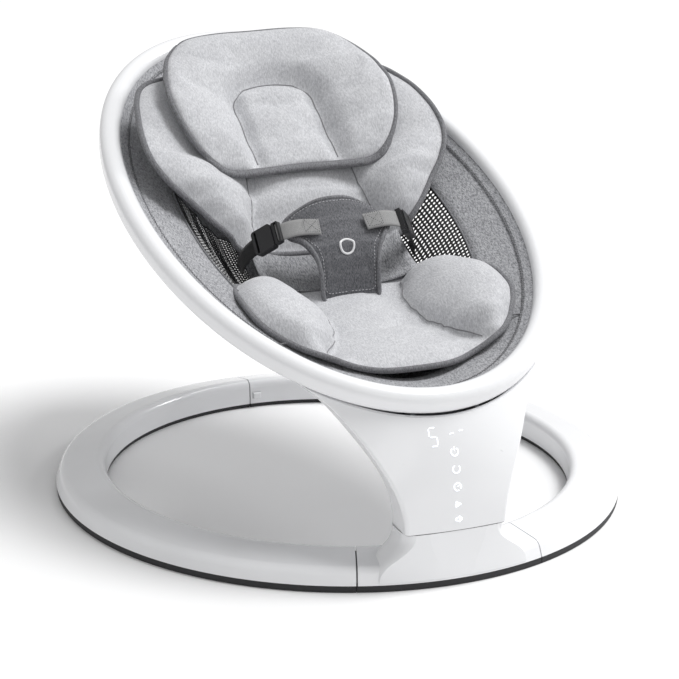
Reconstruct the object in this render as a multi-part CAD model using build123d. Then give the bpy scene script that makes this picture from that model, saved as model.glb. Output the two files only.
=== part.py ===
from build123d import *
from math import cos, pi, radians, sin
import os

# Baby swing. Millimetres, +Z up, front of the swing towards -Y.
# Everything is drawn about the centre of the base ring on the floor, and written with the
# origin moved to the foot of the upright axis that the seat swings about.

# ---------------------------------------------------------------- driving dimensions
RING_HALF_X = 330
RING_HALF_Y = 348
TUBE = 60
FRONT_HALF_ANGLE = 19.5
SEAM_GAP = 0.15
WALL = 3

AXIS_Y = -314
BASE_TOP = 62.7
ARM_BOTTOM = 63.5
PLATE_TOP = 68

HOOP_TILT = 18.6
HOOP_Y = 54
HOOP_Z = 331
HOOP_HALF_LENGTH = 384
HOOP_HALF_WIDTH = 229
HOOP_EGG = -0.03
HOOP_SIDE_RISE = 6.5
HOOP_HALF_TUBE = 12.5
HOOP_STATIONS = 18
HOOP_SCREWS = 8

SHAFT_R = 8
SHAFT_BORE_R = 4
SHAFT_FOOT = 14
SHAFT_TOP = 86
BEARING_R = 13
BEARING_BORE_R = 8.04
BEARING_HEIGHT = 8
BEARING_FEET = (20, 46)

COLLAR_R = 17
SCREW_R = 2
SCREW_HEAD_R = 4
WEBBING = 25
WEBBING_THICK = 1.6
SOFT_GAP = 0.8
GRILLE_SLOTS = 5
GRILLE_Z = 90

RING_PATH_X = RING_HALF_X - TUBE / 2
RING_PATH_Y = RING_HALF_Y - TUBE / 2
PARTS = "parts"
os.makedirs(PARTS, exist_ok=True)


def save(name, *solids):
    """Write one node; several solids become a group of separate solids."""
    placed = [Pos(0, -AXIS_Y, 0) * solid for solid in solids]
    shape = placed[0] if len(placed) == 1 else Compound(children=placed)
    export_step(shape, f"{PARTS}/{name}.step")


def box(x0, x1, y0, y1, z0, z1):
    """An axis-aligned block from its six limits."""
    size = (x1 - x0, y1 - y0, z1 - z0)
    return Pos((x0 + x1) / 2, (y0 + y1) / 2, (z0 + z1) / 2) * Box(*size)


def rod(radius, x, y, z0, z1):
    """An upright cylinder between two heights."""
    return Pos(x, y, (z0 + z1) / 2) * Cylinder(radius, z1 - z0)


def polygon(points, radii=()):
    """A face from its corners; radii pairs a corner's index with its rounding."""
    face = make_face(Polyline(*points, close=True))
    for index, radius in radii:
        corner = Vector(*points[index])
        nearest = min(face.vertices(), key=lambda v: (Vector(*v) - corner).length)
        face = fillet(nearest, radius)
    return face


# ---------------------------------------------------------------- base ring
def ring_path(start, end):
    """The ring's centre line between two angles, anticlockwise from +X."""
    return EllipticalCenterArc((0, 0), RING_PATH_X, RING_PATH_Y, start_angle=start, arc_size=end - start)


def ring_piece(face, start, end):
    """Sweep an upright (outward, up) section along the ring."""
    path = ring_path(start, end)
    tangent = path % 0
    plane = Plane(path @ 0, x_dir=tangent.cross(Vector(0, 0, 1)), z_dir=tangent)
    if (plane.y_dir.Z) < 0:
        plane = Plane(path @ 0, x_dir=-plane.x_dir, z_dir=tangent)
    return sweep(plane * face, path=path).solid()


def ring_outline():
    """The ring's outer section: steep outer wall, ridge outside, top sloping inward."""
    corners = [(29.5, 5), (28.5, 36.5), (-24, 25.5), (-29.5, 8), (-20, 8), (-20, 5)]
    return polygon(corners, [(1, 9), (2, 12)])


def ring_hollow():
    """The hollow inside the ring's section, open underneath."""
    return polygon([(26.4, 4), (25.6, 33.3), (-21.6, 22.6), (-26.3, 4)], [(1, 6), (2, 9)])


def strip_section():
    """The rubber strip that closes the ring and stands on the floor."""
    corners = [(27.8, 0), (28.8, 1), (28.8, 4.7), (25.2, 4.7), (25.2, 9)]
    corners += [(-24.6, 9), (-24.6, 7.7), (-29, 7.7), (-29, 1), (-28, 0)]
    return polygon(corners)


def spigot_section():
    """The tongue that joins two lengths of ring inside their walls."""
    return polygon([(24.6, 9.6), (24.2, 30.5), (-20, 21), (-24.4, 9.6)], [(1, 5), (2, 8)])


FRONT_LEFT = -90 - FRONT_HALF_ANGLE
FRONT_RIGHT = -90 + FRONT_HALF_ANGLE
REAR = 90
SPIGOT_SPAN = 4

shell_section = ring_outline() - ring_hollow()
ring_right = ring_piece(shell_section, FRONT_RIGHT + SEAM_GAP, REAR - SEAM_GAP)
ring_left = ring_piece(shell_section, REAR + SEAM_GAP, 360 + FRONT_LEFT - SEAM_GAP)
save("ring_strip_right", ring_piece(strip_section(), FRONT_RIGHT + SEAM_GAP, REAR - SEAM_GAP))
save("ring_strip_left", ring_piece(strip_section(), REAR + SEAM_GAP, 360 + FRONT_LEFT - SEAM_GAP))
save("ring_strip_front", ring_piece(strip_section(), FRONT_LEFT, FRONT_RIGHT))

front_spigots = [ring_piece(spigot_section(), angle - SPIGOT_SPAN, angle + SPIGOT_SPAN)
                 for angle in (FRONT_LEFT, FRONT_RIGHT)]
save("front_spigots", *front_spigots)

# Release tab at the rear seam: its pad stands out of the ring's inner wall, the stem runs
# outward through a window into a pocket of the spigot, and a coil spring sits behind it.
TAB_X = 9
TAB_HALF = 5
TAB_FACE_Y = 285.4
TAB_Z0 = 11.5
TAB_Z1 = 19.5
TAB_STEM_END = 303
SPRING_Y0 = 303.3
SPRING_Y1 = 312

tab_window = box(TAB_X - TAB_HALF - 0.4, TAB_X + TAB_HALF + 0.4, 280, 296, TAB_Z0 - 0.4, TAB_Z1 + 0.4)
tab_pocket = box(TAB_X - TAB_HALF - 0.4, TAB_X + TAB_HALF + 0.4, 288, SPRING_Y1 + 0.3,
                 TAB_Z0 - 0.4, TAB_Z1 + 0.4)
rear_spigot = ring_piece(spigot_section(), REAR - SPIGOT_SPAN, REAR + SPIGOT_SPAN) - tab_pocket
save("rear_spigot", rear_spigot)
save("ring_left", ring_left)
save("ring_right", ring_right - tab_window)

release_tab = box(TAB_X - TAB_HALF, TAB_X + TAB_HALF, TAB_FACE_Y, TAB_STEM_END, TAB_Z0, TAB_Z1)
release_tab = fillet(release_tab.edges().group_by(Axis.Y)[0], 1.5)
save("ring_release_tab", release_tab)


def coil_spring(radius, wire, height, turns):
    """A helical compression spring standing on +Z from the origin."""
    helix = Helix(pitch=(height - wire) / turns, height=height - wire, radius=radius)
    plane = Plane(helix @ 0, z_dir=helix % 0)
    return sweep(plane * Circle(wire / 2), path=helix)


spring = coil_spring(2.6, 0.6, SPRING_Y1 - SPRING_Y0, 5)
spring_place = Plane((TAB_X, SPRING_Y0 + 0.3, (TAB_Z0 + TAB_Z1) / 2), z_dir=(0, 1, 0))
save("release_spring", spring_place * spring)


# ---------------------------------------------------------------- base housing
def neck_face(z, width, depth, radius):
    """One level of the neck that rises from the ring to the pedestal."""
    return Plane((0, AXIS_Y - 3, z)) * RectangleRounded(width, depth, radius)


def neck(inset, foot, top):
    """The flared neck, shrunk by an inset, between two heights."""
    levels = [(foot, 178, 60), (30, 160, 59), (45, 130, 58), (top, 120, 57)]
    faces = [neck_face(z, w - 2 * inset, d - 2 * inset, 20 - inset) for z, w, d in levels]
    return loft(faces)


ring_body = ring_piece(ring_outline(), FRONT_LEFT + SEAM_GAP, FRONT_RIGHT - SEAM_GAP)
ring_inside = ring_piece(ring_hollow(), FRONT_LEFT, FRONT_RIGHT)
neck_limit = Pos(0, 0, 5) * extrude(Ellipse(RING_HALF_X - 0.6, RING_HALF_Y - 0.6), 60)
base_housing = (neck(0, 10, BASE_TOP) & neck_limit) + ring_body
inner_limit = extrude(Ellipse(RING_HALF_X - 4.2, RING_HALF_Y - 4.2), BASE_TOP)
base_housing -= neck(WALL, 9.4, BASE_TOP - WALL) & inner_limit
base_housing -= ring_inside
base_housing -= rod(COLLAR_R + 0.5, 0, AXIS_Y, BASE_TOP - WALL - 1, BASE_TOP + 1)

INLET_X = 58
INLET_Z = 16
inlet_hole = Plane((INLET_X, -278, INLET_Z), z_dir=(0, 1, 0)) * Cylinder(5.2, 30)
base_housing = (base_housing - inlet_hole).solids().sort_by(SortBy.VOLUME)[-1]
save("base_housing", base_housing)

inlet = Plane((INLET_X, -288, INLET_Z), z_dir=(0, 1, 0)) * (Cylinder(5, 14) - Pos(0, 0, 2) * Cylinder(3.2, 11))
inlet_pin = Plane((INLET_X, -289.5, INLET_Z), z_dir=(0, 1, 0)) * Cylinder(1, 9)
save("dc_inlet", inlet + inlet_pin)

BRACKET_FOOT = 9.6
bracket_plate = box(-50, 50, AXIS_Y - 22, AXIS_Y + 20, BRACKET_FOOT, BRACKET_FOOT + 4)
bracket = bracket_plate + rod(COLLAR_R, 0, AXIS_Y, BRACKET_FOOT, 55)
bracket -= rod(BEARING_R - 2, 0, AXIS_Y, BRACKET_FOOT + 2, 56)
for foot in BEARING_FEET:
    bracket -= rod(BEARING_R, 0, AXIS_Y, foot, foot + BEARING_HEIGHT)
for side in (-1, 1):
    bracket -= rod(SCREW_R + 0.2, side * 42, AXIS_Y, 9, 14)
save("bearing_bracket", bracket)

bearings = [rod(BEARING_R, 0, AXIS_Y, foot, foot + BEARING_HEIGHT)
            - rod(BEARING_BORE_R, 0, AXIS_Y, foot - 1, foot + BEARING_HEIGHT + 1)
            for foot in BEARING_FEET]
save("pivot_bearings", *bearings)


def screw(x, y, z, length, up=1):
    """A pan-head screw whose head bears at z; up is the way its shank points."""
    head_end = z - up * 2.4
    tip = z + up * length
    shank = rod(SCREW_R, x, y, min(z, tip), max(z, tip))
    head = rod(SCREW_HEAD_R, x, y, min(z, head_end), max(z, head_end))
    return shank + head


save("bracket_screws", *[screw(side * 42, AXIS_Y, BRACKET_FOOT + 4.1, 4.4, up=-1) for side in (-1, 1)])

COIL_Z0 = 48
COIL_Z1 = 57
coils = []
for side in (-1, 1):
    winding = box(side * 33 - 10, side * 33 + 10, AXIS_Y - 16, AXIS_Y + 12, COIL_Z0, COIL_Z1)
    coils.append(winding - box(side * 33 - 4, side * 33 + 4, AXIS_Y - 9, AXIS_Y + 5, COIL_Z0 - 1, COIL_Z1 + 1))
save("drive_coils", *coils)
coil_posts = [box(side * 33 - 3.4, side * 33 + 3.4, AXIS_Y - 8, AXIS_Y + 4, BRACKET_FOOT + 4.2, COIL_Z1)
              for side in (-1, 1)]
save("coil_cores", *coil_posts)
save("base_circuit_board", box(-76, -53, AXIS_Y - 8, AXIS_Y + 12, 22, 23.6))


# ---------------------------------------------------------------- pedestal
# Each level: height, half width and y of the front corners, y of the front's middle,
# half width and y of the rear corners, y of the rear's middle, rounding of the rear corners.
PEDESTAL_LEVELS = [
    (ARM_BOTTOM, 60, -342, -346, 57, -290, -288, 14),
    (96, 65, -340, -345, 61, -289, -287, 13),
    (131, 79, -328, -339, 76, -281, -286, 11),
    (154, 91, -314, -332, 92, -274, -286, 9),
    (174, 103, -297, -324, 106, -258, -287, 7),
    (196, 120, -273, -313, 123, -235, -290, 5),
    (224, 152, -226, -302, 152, -196, -291, 3.5),
]
SPLIT_BACK = 14
FRONT_CORNER = 5


def pedestal_face(level, inset):
    """One level of the pedestal as a crescent with rounded corners."""
    z, front_x, front_y, front_mid, rear_x, rear_y, rear_mid, rear_radius = level
    front_x, rear_x = front_x - inset, rear_x - inset
    front_y, front_mid = front_y + inset, front_mid + inset
    rear_y, rear_mid = rear_y - inset, rear_mid - inset
    front = ThreePointArc((-front_x, front_y), (0, front_mid), (front_x, front_y))
    rear = ThreePointArc((rear_x, rear_y), (0, rear_mid), (-rear_x, rear_y))
    right = Line((front_x, front_y), (rear_x, rear_y))
    left = Line((-rear_x, rear_y), (-front_x, front_y))
    face = make_face([front, right, rear, left])
    corners = face.vertices().group_by(Axis.Y)
    face = fillet(corners[0], FRONT_CORNER - inset / 2)
    corners = face.vertices().sort_by(Axis.Y)
    face = fillet(corners[-2:], rear_radius - inset / 2)
    return Plane((0, 0, z)) * face


def pedestal_solid(inset):
    """The pedestal's whole envelope, shrunk by an inset."""
    return loft([pedestal_face(level, inset) for level in PEDESTAL_LEVELS])


def front_region():
    """Everything ahead of the seam between the pedestal's two shells."""
    faces = []
    for z, front_x, front_y, front_mid, *_ in PEDESTAL_LEVELS:
        back = SPLIT_BACK
        seam = ThreePointArc((-front_x - 20, front_y + back + 9), (0, front_mid + back),
                             (front_x + 20, front_y + back + 9))
        sides = Polyline((front_x + 20, front_y + back + 9), (front_x + 20, -420),
                         (-front_x - 20, -420), (-front_x - 20, front_y + back + 9))
        faces.append(Plane((0, 0, z)) * make_face([seam, *sides.edges()]))
    return loft(faces)


HOOP_PLANE = Plane((0, HOOP_Y, HOOP_Z), x_dir=(1, 0, 0),
                   z_dir=(0, -sin(radians(HOOP_TILT)), cos(radians(HOOP_TILT))))


def hoop_point(angle):
    """A point of the hoop's centre line in the hoop's own frame (across, along, above)."""
    across = HOOP_HALF_WIDTH * sin(angle) * (1 + HOOP_EGG * cos(angle))
    return across, HOOP_HALF_LENGTH * cos(angle), -HOOP_SIDE_RISE * cos(2 * angle)


def hoop_station(angle):
    """The plane of the hoop's section at one angle from the head: x outward, y up."""
    step = 0.001
    here, ahead, behind = (HOOP_PLANE.from_local_coords(Vector(*hoop_point(a)))
                           for a in (angle, angle + step, angle - step))
    tangent = (ahead - behind).normalized()
    outward = -tangent.cross(HOOP_PLANE.z_dir).normalized()
    return Plane(here, x_dir=outward, z_dir=tangent)


def hoop_half(face):
    """One (outward, above) section carried along the right half of the hoop."""
    angles = [pi * i / HOOP_STATIONS for i in range(HOOP_STATIONS + 1)]
    return loft([hoop_station(a) * face for a in angles])


def hoop_ring(face):
    """The whole closed hoop of one section."""
    half = hoop_half(face)
    return half + mirror(half, about=Plane.YZ)


R = HOOP_HALF_TUBE
upper_section = polygon([(R, -7), (R, 12), (-R, 12), (-R, -7)], [(1, 11), (2, 11)])
upper_section -= polygon([(R - 2.5, -8), (R - 2.5, 9.5), (2.5 - R, 9.5), (2.5 - R, -8)], [(1, 8.5), (2, 8.5)])
lower_section = polygon([(R - 0.8, -7.3), (R - 0.8, -13), (0.8 - R, -13), (0.8 - R, -7.3)], [(1, 5), (2, 5)])
lower_section -= polygon([(R - 3.3, -7), (R - 3.3, -10.5), (3.3 - R, -10.5), (3.3 - R, -7)], [(1, 2.5), (2, 2.5)])
keep_out_section = polygon([(45, -13.3), (45, 70), (-45, 70), (-45, -13.3)])

hoop_upper = hoop_ring(upper_section)
hoop_lower = hoop_ring(lower_section)
hoop_screws = []
for number in range(HOOP_SCREWS):
    angle = 2 * pi * (number + 0.5) / HOOP_SCREWS
    place = Plane(HOOP_PLANE.from_local_coords(Vector(*hoop_point(angle))), z_dir=HOOP_PLANE.z_dir)
    hoop_upper += place * (rod(3.6, 0, 0, -6.9, 10) - rod(1.6, 0, 0, -8, 4))
    hoop_lower -= place * (rod(1.8, 0, 0, -14, -6) + rod(3.2, 0, 0, -14, -12))
    hoop_screws.append(place * (rod(1.5, 0, 0, -12, 3) + rod(3, 0, 0, -13, -12)))
save("hoop_upper_shell", hoop_upper)
save("hoop_lower_shell", hoop_lower)
save("hoop_screws", *hoop_screws)

above_hoop = hoop_ring(keep_out_section)
pedestal_inside = pedestal_solid(WALL)
pedestal_shell = pedestal_solid(0) - pedestal_inside - above_hoop
region = front_region()
front_shell = (pedestal_shell & region).solids().sort_by(SortBy.VOLUME)[-1]
rear_shell = (pedestal_shell - region).solids().sort_by(SortBy.VOLUME)[-1]


def cross_rod(radius, x, z, y0, y1):
    """A cylinder along Y between two depths."""
    return Plane((x, (y0 + y1) / 2, z), z_dir=(0, 1, 0)) * Cylinder(radius, y1 - y0)


POST_END = -292.4
pedestal_screws = []
for x, z, post_start in ((-46, 84, -341.5), (46, 84, -341.5), (-56, 138, -330), (56, 138, -330)):
    front_shell += cross_rod(4, x, z, post_start, POST_END)
    front_shell -= cross_rod(SCREW_R + 0.05, x, z, -310, -290)
    rear_shell -= cross_rod(SCREW_HEAD_R + 0.4, x, z, -300, -270)
    pedestal_screws.append(cross_rod(SCREW_R, x, z, -308, POST_END + 0.1)
                           + cross_rod(SCREW_HEAD_R, x, z, POST_END + 0.1, POST_END + 2.5))
for i in range(GRILLE_SLOTS):
    rear_shell -= box(-16, 16, -296, -275, GRILLE_Z + 6 * i, GRILLE_Z + 6 * i + 2.5)
save("pedestal_front_shell", front_shell)
save("pedestal_rear_shell", rear_shell)
save("pedestal_screws", *pedestal_screws)

foot_plate = extrude(pedestal_face(PEDESTAL_LEVELS[0], WALL + 1.4), PLATE_TOP - ARM_BOTTOM)
save("pedestal_foot_plate", foot_plate - rod(SHAFT_R + 0.05, 0, AXIS_Y, 60, 70))
save("pivot_shaft", rod(SHAFT_R, 0, AXIS_Y, SHAFT_FOOT, SHAFT_TOP)
     - rod(SHAFT_BORE_R, 0, AXIS_Y, SHAFT_FOOT - 1, SHAFT_TOP + 1))
hub = rod(18, 0, AXIS_Y, PLATE_TOP + 0.2, PLATE_TOP + 5.2) + rod(13, 0, AXIS_Y, PLATE_TOP + 0.2, SHAFT_TOP - 2)
save("shaft_hub", hub - rod(SHAFT_R + 0.05, 0, AXIS_Y, 60, 90))
save("shaft_cable", rod(2.6, 0, AXIS_Y, SHAFT_FOOT + 2, SHAFT_TOP + 10))
save("drive_magnets", *[box(side * 33 - 10, side * 33 + 10, AXIS_Y - 14, AXIS_Y + 10,
                            PLATE_TOP + 0.2, PLATE_TOP + 5.2) for side in (-1, 1)])

BOARD_LEAN = 11
BOARD_Y = -327
BOARD_Z = 122
board = Location((0, BOARD_Y, BOARD_Z), (-BOARD_LEAN, 0, 0)) * Box(50, 1.6, 96)
save("control_board", board)
ICON_HEIGHTS = (76, 94, 112, 130, 149, 166)


def front_inner_y(z):
    """Depth of the front shell's inner face on the centre line at a height."""
    for low, high in zip(PEDESTAL_LEVELS, PEDESTAL_LEVELS[1:]):
        if z <= high[0]:
            share = (z - low[0]) / (high[0] - low[0])
            return low[3] + share * (high[3] - low[3]) + WALL


guides = []
for z in ICON_HEIGHTS:
    board_y = BOARD_Y + (z - BOARD_Z) * sin(radians(BOARD_LEAN)) - 2
    guides.append(cross_rod(4, 0, z, front_inner_y(z) + 1.6, board_y))
save("icon_light_guides", *guides)
save("speaker", cross_rod(15, 0, 103, -304, -291.5) + cross_rod(8, 0, 103, -308, -304))

saddle_blocks = box(-60, 60, -345, -270, 178, 183)
for side in (-1, 1):
    saddle_blocks += box(side * 38 - 2.5, side * 38 + 2.5, -345, -270, 150, 205)
saddle = pedestal_solid(WALL + 0.4) & saddle_blocks
save("hoop_saddle", (saddle - Pos(0, 0, -0.3) * above_hoop).solids().sort_by(SortBy.VOLUME)[-1])


# ---------------------------------------------------------------- seat fabric
# From here on shapes are made in the hoop's own frame: across, along towards the head,
# above the hoop's plane.
def oval(half_length, half_width, shift, above):
    """A flat oval with the hoop's egg shape at one height."""
    turns = [2 * pi * i / HOOP_STATIONS for i in range(HOOP_STATIONS)]
    points = [(half_width * sin(t) * (1 + HOOP_EGG * cos(t)), shift + half_length * cos(t)) for t in turns]
    return Pos(0, 0, above) * make_face(Spline(*points, periodic=True))


def bucket(inset):
    """The seat's bowl, shrunk by an inset."""
    levels = [(364, 208, 0, -6), (314, 158, -2, -32), (284, 130, -6, -64), (225, 92, -25, -100)]
    return loft([oval(length - inset, width - inset, shift, above + (inset if above == -100 else 0))
                 for length, width, shift, above in levels])


def hem_section():
    """The turned-in edge of the fabric, just inside the hoop."""
    return polygon([(-13, -5), (-17, -5), (-17, 4), (-13, 4)], [(1, 1.5), (2, 1.5)])


FABRIC = 3
bowl = bucket(0) - bucket(FABRIC) - Pos(0, 0, 44) * Box(900, 900, 100)
WINDOW = (-62, 78, -78, -26)
window_cut = box(-260, 260, WINDOW[0], WINDOW[1], WINDOW[2], WINDOW[3])
mesh_cut = box(0, 260, WINDOW[0] + 0.4, WINDOW[1] - 0.4, WINDOW[2] + 0.4, WINDOW[3] - 0.4)
mesh_right = bowl & mesh_cut
save("seat_sling", HOOP_PLANE * (bowl - window_cut))
save("mesh_panel_right", HOOP_PLANE * mesh_right)
save("mesh_panel_left", mirror(HOOP_PLANE * mesh_right, about=Plane.YZ))
save("sling_hem", hoop_ring(hem_section()))


def pad(rows, grow=0.0):
    """A soft pad lofted along the seat: rows of along, across, above, width, height."""
    faces = []
    for along, across, above, width, height in rows:
        plane = Plane((across, along, above), x_dir=(1, 0, 0), z_dir=(0, 1, 0))
        radius = 0.42 * min(width, height)
        faces.append(plane * RectangleRounded(width + grow, height + grow, radius))
    return loft(faces)


def pair(name, right):
    """Write the left and right copies of a piece made in the hoop's frame."""
    placed = HOOP_PLANE * right
    save(f"{name}_right", placed)
    save(f"{name}_left", mirror(placed, about=Plane.YZ))


SEAT_ROWS = [(-304, 0, -19, 78, 10), (-270, 0, -36, 104, 24), (-200, 0, -56, 110, 28),
             (-130, 0, -70, 126, 28), (-88, 0, -72, 120, 24)]
THIGH_ROWS = [(-280, 74, -11, 30, 14), (-240, 86, -11, 46, 20), (-180, 102, -10, 54, 26),
              (-124, 98, -22, 54, 30)]
BACK_ROWS = [(-56, 0, -66, 130, 26), (0, 0, -54, 136, 30), (80, 0, -24, 126, 32),
             (150, 0, -14, 130, 32), (215, 0, 4, 124, 26), (262, 0, 18, 100, 20)]
BOLSTER_ROWS = [(-26, 99, -38, 36, 34), (20, 114, -10, 64, 40), (85, 130, 14, 88, 48),
                (150, 128, 24, 92, 46), (210, 116, 34, 80, 34), (250, 94, 40, 60, 20)]
PILLOW_ROWS = [(64, 0, 12, 168, 16), (92, 0, 26, 236, 38), (150, 0, 42, 274, 58),
               (210, 0, 63, 260, 54), (256, 0, 76, 196, 30)]
pillow = pad(PILLOW_ROWS)
pillow_room = pad(PILLOW_ROWS, 2 * SOFT_GAP)
save("seat_pad", HOOP_PLANE * pad(SEAT_ROWS))
save("back_pad", HOOP_PLANE * (pad(BACK_ROWS) - pillow_room))
save("headrest_pillow", HOOP_PLANE * pillow)
pair("thigh_bolster", pad(THIGH_ROWS))
pair("back_bolster", (pad(BOLSTER_ROWS) - pillow_room).solids().sort_by(SortBy.VOLUME)[-1])


# ---------------------------------------------------------------- harness
def ribbon(points, widths, thickness, across):
    """A strap through points, lofted with its width lying along a given direction."""
    faces = []
    last = len(points) - 1
    for i, (point, width) in enumerate(zip(points, widths)):
        tangent = (Vector(*points[min(i + 1, last)]) - Vector(*points[max(i - 1, 0)])).normalized()
        wide = Vector(*across)
        wide = (wide - tangent * wide.dot(tangent)).normalized()
        faces.append(Plane(point, x_dir=wide, z_dir=tangent) * Rectangle(width, thickness))
    return loft(faces)


CROTCH_POINTS = [(0, -34, 20), (0, -60, 12), (0, -88, -2), (0, -108, -26), (0, -121, -50)]
CROTCH_WIDTHS = [96, 120, 92, 74, 68]
crotch = ribbon(CROTCH_POINTS, CROTCH_WIDTHS, 7, (1, 0, 0))
save("crotch_pad", HOOP_PLANE * crotch)

STRAP_ACROSS = (0, 0.9, 0.44)
BUCKLE_AT = Vector(80, -63, 3)
BUCKLE_ALONG = Vector(36, 24, -44).normalized()
FEMALE_LENGTH = 28
buckle_wide = Vector(*STRAP_ACROSS)
buckle_wide = (buckle_wide - BUCKLE_ALONG * buckle_wide.dot(BUCKLE_ALONG)).normalized()
BUCKLE_FRAME = Plane(BUCKLE_AT, x_dir=BUCKLE_ALONG, z_dir=BUCKLE_ALONG.cross(buckle_wide))
strap_start = BUCKLE_AT + BUCKLE_ALONG * (FEMALE_LENGTH + 1.5)
strap_end = Vector(107, -46, -31)
pair("waist_strap", ribbon([tuple(strap_start), tuple(strap_end)], [WEBBING, WEBBING],
                           WEBBING_THICK, STRAP_ACROSS))
pair("harness_tab", ribbon([(34, -70, 15.5), (48, -70, 15.5), (62, -70, 15)], [WEBBING] * 3,
                           WEBBING_THICK, STRAP_ACROSS))

female = box(0, FEMALE_LENGTH, -15, 15, -4.5, 4.5)
female = fillet(female.edges().filter_by(Axis.Z), 4)
female -= box(-1, 16, -10.4, 10.4, -2.2, 2.2)
female -= box(21, 24, -13, 13, -5, 5)
male = box(-10, -0.5, -13.5, 13.5, -3, 3)
male = fillet(male.edges().filter_by(Axis.Z), 2)
male -= box(-7.5, -4.5, -12, 12, -4, 4)
for side in (-1, 0, 1):
    male += box(-1, 14, side * 8 - 1.6, side * 8 + 1.6, -1.6, 1.6)
pair("buckle_body", BUCKLE_FRAME * female)
pair("buckle_plug", BUCKLE_FRAME * male)
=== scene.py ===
"""Visual model of the baby swing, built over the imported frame."""
import logging
import math
from dataclasses import dataclass
from enum import Enum
from typing import Callable, Sequence

import bmesh
import bpy
from mathutils import Matrix, Vector


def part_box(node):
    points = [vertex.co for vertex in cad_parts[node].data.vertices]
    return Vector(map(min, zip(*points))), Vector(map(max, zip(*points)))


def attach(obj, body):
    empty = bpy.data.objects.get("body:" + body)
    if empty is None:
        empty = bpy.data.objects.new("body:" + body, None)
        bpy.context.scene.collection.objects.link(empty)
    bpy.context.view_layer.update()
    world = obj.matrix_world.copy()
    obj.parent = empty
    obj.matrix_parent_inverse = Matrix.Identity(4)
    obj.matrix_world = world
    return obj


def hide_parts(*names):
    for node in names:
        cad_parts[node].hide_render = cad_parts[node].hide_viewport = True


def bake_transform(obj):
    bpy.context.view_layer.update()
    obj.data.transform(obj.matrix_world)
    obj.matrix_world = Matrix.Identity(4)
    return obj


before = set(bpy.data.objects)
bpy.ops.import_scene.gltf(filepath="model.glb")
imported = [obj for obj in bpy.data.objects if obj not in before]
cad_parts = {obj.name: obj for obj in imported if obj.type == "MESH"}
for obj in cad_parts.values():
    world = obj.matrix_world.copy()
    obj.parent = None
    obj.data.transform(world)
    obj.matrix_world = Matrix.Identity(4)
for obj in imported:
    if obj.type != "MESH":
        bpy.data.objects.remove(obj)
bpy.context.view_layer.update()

LOG = logging.getLogger("baby_swing")
MM = 0.001
ARM = "swing_arm"
Point = tuple[float, float, float]


class Side(Enum):
    """The two sides of the seat; the value is the sign of x."""

    LEFT = -1
    RIGHT = 1


# ------------------------------------------------------------------ finishes
class NodeSheet:
    """A material's node tree with a short way to add and join nodes."""

    def __init__(self, name: str, colour: Sequence[float], roughness: float) -> None:
        """Start a material with one Principled shader.

        Args:
            name: The material's name.
            colour: Base colour, linear RGB.
            roughness: Surface roughness.
        """
        self.material = bpy.data.materials.new(name)
        self.material.use_nodes = True
        self.material.diffuse_color = (*colour, 1.0)
        self.tree = self.material.node_tree
        self.shader = next(n for n in self.tree.nodes if n.type == "BSDF_PRINCIPLED")
        self.shader.inputs["Base Color"].default_value = (*colour, 1.0)
        self.shader.inputs["Roughness"].default_value = roughness

    def add(self, kind: str, **values: object) -> bpy.types.Node:
        """Add a node; names that are sockets set sockets, others set properties.

        Args:
            kind: The node's type name.
            values: Sockets (spaces written as underscores) or properties.

        Returns:
            The new node.
        """
        node = self.tree.nodes.new(kind)
        for key, value in values.items():
            socket = node.inputs.get(key.replace("_", " "))
            if socket is None:
                setattr(node, key, value)
            elif isinstance(value, bpy.types.NodeSocket):
                self.tree.links.new(value, socket)
            else:
                socket.default_value = value
        return node

    def join(self, output: bpy.types.NodeSocket, name: str) -> None:
        """Link an output to one of the shader's sockets."""
        self.tree.links.new(output, self.shader.inputs[name])

    def ramp(self, source: bpy.types.NodeSocket, low: Sequence[float], high: Sequence[float],
             start: float = 0.0, end: float = 1.0) -> bpy.types.NodeSocket:
        """Turn a 0..1 value into a colour between two stops.

        Returns:
            The colour output.
        """
        node = self.add("ShaderNodeValToRGB")
        node.color_ramp.elements[0].position = start
        node.color_ramp.elements[0].color = (*low, 1.0)
        node.color_ramp.elements[1].position = end
        node.color_ramp.elements[1].color = (*high, 1.0)
        self.tree.links.new(source, node.inputs["Fac"])
        return node.outputs["Color"]

    def bump(self, height: bpy.types.NodeSocket, strength: float, distance: float) -> None:
        """Give the surface a bump from a height value."""
        node = self.add("ShaderNodeBump", Strength=strength, Distance=distance, Height=height)
        self.join(node.outputs["Normal"], "Normal")


@dataclass(frozen=True)
class PlasticFinish:
    """A moulded plastic: even colour, fine mould texture, slight gloss variation."""

    name: str
    colour: Point
    roughness: float
    grain: float = 0.00008
    grain_size: float = 900.0
    coat: float = 0.0

    def build(self) -> bpy.types.Material:
        """Make the material."""
        sheet = NodeSheet(self.name, self.colour, self.roughness)
        place = sheet.add("ShaderNodeTexCoord").outputs["Object"]
        fine = sheet.add("ShaderNodeTexNoise", Vector=place, Scale=self.grain_size, Detail=2.0)
        broad = sheet.add("ShaderNodeTexNoise", Vector=place, Scale=9.0, Detail=3.0)
        spread = sheet.add("ShaderNodeMapRange", Value=broad.outputs["Fac"],
                           To_Min=self.roughness - 0.03,
                           To_Max=self.roughness + 0.05)
        sheet.join(spread.outputs["Result"], "Roughness")
        shade = [c * 0.965 for c in self.colour]
        sheet.join(sheet.ramp(broad.outputs["Fac"], shade, self.colour, 0.3, 0.7), "Base Color")
        sheet.bump(fine.outputs["Fac"], 0.5, self.grain)
        sheet.shader.inputs["Coat Weight"].default_value = self.coat
        sheet.shader.inputs["Coat Roughness"].default_value = 0.08
        return sheet.material


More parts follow.
